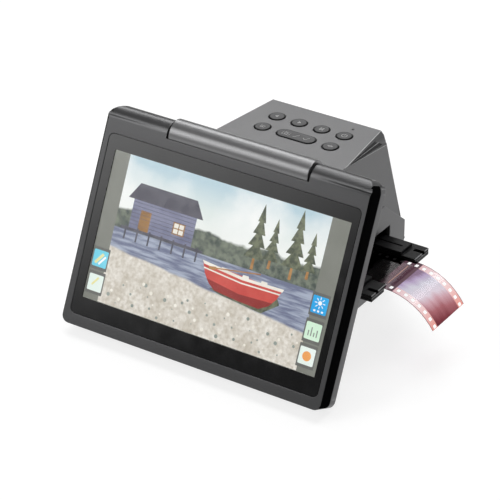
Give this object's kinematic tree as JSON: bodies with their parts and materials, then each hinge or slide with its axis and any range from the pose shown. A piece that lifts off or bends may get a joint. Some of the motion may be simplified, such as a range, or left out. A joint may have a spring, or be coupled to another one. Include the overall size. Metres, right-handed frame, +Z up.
{
  "type": "film negative scanner",
  "caption": "Desktop film scanner with a tilting screen on a hinge barrel, a sloped button deck and a film tray that slides through a slot.",
  "frame": {"origin": "middle of the film gate, on the camera's optical axis and in the plane of the film", "axes": "+X is the way the film leaves, +Y towards the back wall, +Z up along the optical axis"},
  "size_m": [0.1983, 0.1431, 0.1221],
  "materials": {
    "body_plastic": "fine moulded grain, charcoal",
    "base_plastic": "fine moulded grain, dark charcoal",
    "bezel_plastic": "satin charcoal",
    "gloss_trim": "polished black",
    "cover_glass": "clear, black printed border",
    "display": "lit screen",
    "tray_plastic": "satin black",
    "film": "translucent colour negative, pink and mauve",
    "magnet_metal": "nickel plated",
    "button_plastic": "satin black with a printed mark",
    "foot_rubber": "matt black",
    "steel": "zinc plated",
    "arm_steel": "stamped sheet",
    "circuit_board": "green solder mask",
    "white_plastic": "white, light spreading",
    "inner_black": "light absorbing black",
    "lens_glass": "coated",
    "sensor": "iridescent dark",
    "status_lens": "clear green tint"
  },
  "bodies": {
    "root": {"upper_housing": "body_plastic", "base_housing": "base_plastic", "hinge_barrel": "body_plastic", "barrel_caps": "base_plastic", "hinge_pins": "steel", "hinge_nuts": "steel", "tray_guide": "inner_black", "detent_magnets": "magnet_metal", "light_box": "white_plastic", "led_board": "white_plastic", "backlight_leds": "status_lens", "diffuser": "white_plastic", "camera_shaft": "inner_black", "lens_barrel": "inner_black", "lens_glass": "lens_glass", "image_sensor": "sensor", "camera_board": "circuit_board", "main_board": "circuit_board", "usb_socket": "steel", "video_socket": "steel", "card_socket": "steel", "button_board": "circuit_board", "tact_switches": "steel", "status_light": "status_lens", "rubber_feet": "foot_rubber", "base_screws": "steel"},
    "screen": {"screen_bezel": "bezel_plastic", "screen_trim_left": "gloss_trim", "screen_trim_right": "gloss_trim", "screen_glass": "cover_glass", "lcd_panel": "display", "display_board": "circuit_board", "hinge_arm_left": "arm_steel", "hinge_arm_right": "arm_steel", "arm_screws": "steel", "screen_back_cover": "bezel_plastic", "screen_screws": "steel"},
    "tray": {"film_tray_base": "tray_plastic", "film_tray_cover": "tray_plastic", "tray_magnets": "magnet_metal"},
    "film": {"film_strip": "film"},
    "button_left_body": {"button_left": "button_plastic"},
    "button_right_body": {"button_right": "button_plastic"},
    "button_mode_body": {"button_mode": "button_plastic"},
    "button_power_body": {"button_power": "button_plastic"},
    "button_gallery_body": {"button_gallery": "button_plastic"},
    "button_capture_body": {"button_capture": "button_plastic"},
    "button_flip_body": {"button_flip": "button_plastic"}
  },
  "joints": [
    {"name": "screen_tilt", "type": "hinge", "parent": "root", "child": "screen", "pos_m": [0, -0.0354, 0.0688], "axis": [-1, 0, 0], "range_deg": [0, 65]},
    {"name": "tray_slide", "type": "slide", "parent": "root", "child": "tray", "axis": [1, 0, 0], "range_m": [0, 0.125]},
    {"name": "film_feed", "type": "slide", "parent": "tray", "child": "film", "axis": [1, 0, 0], "range_m": [0, 0.038]},
    {"name": "button_left_press", "type": "slide", "parent": "root", "child": "button_left_body", "axis": [0, 0, -1], "range_m": [0, 0.0008], "stiffness_N_per_m": 800},
    {"name": "button_right_press", "type": "slide", "parent": "root", "child": "button_right_body", "axis": [0, 0, -1], "range_m": [0, 0.0008], "stiffness_N_per_m": 800},
    {"name": "button_mode_press", "type": "slide", "parent": "root", "child": "button_mode_body", "axis": [0, 0, -1], "range_m": [0, 0.0008], "stiffness_N_per_m": 800},
    {"name": "button_power_press", "type": "slide", "parent": "root", "child": "button_power_body", "axis": [0, 0, -1], "range_m": [0, 0.0008], "stiffness_N_per_m": 800},
    {"name": "button_gallery_press", "type": "slide", "parent": "root", "child": "button_gallery_body", "axis": [0, 0, -1], "range_m": [0, 0.0008], "stiffness_N_per_m": 800},
    {"name": "button_capture_press", "type": "slide", "parent": "root", "child": "button_capture_body", "axis": [0, 0, -1], "range_m": [0, 0.0008], "stiffness_N_per_m": 800},
    {"name": "button_flip_press", "type": "slide", "parent": "root", "child": "button_flip_body", "axis": [0, 0, -1], "range_m": [0, 0.0008], "stiffness_N_per_m": 800}
  ]
}
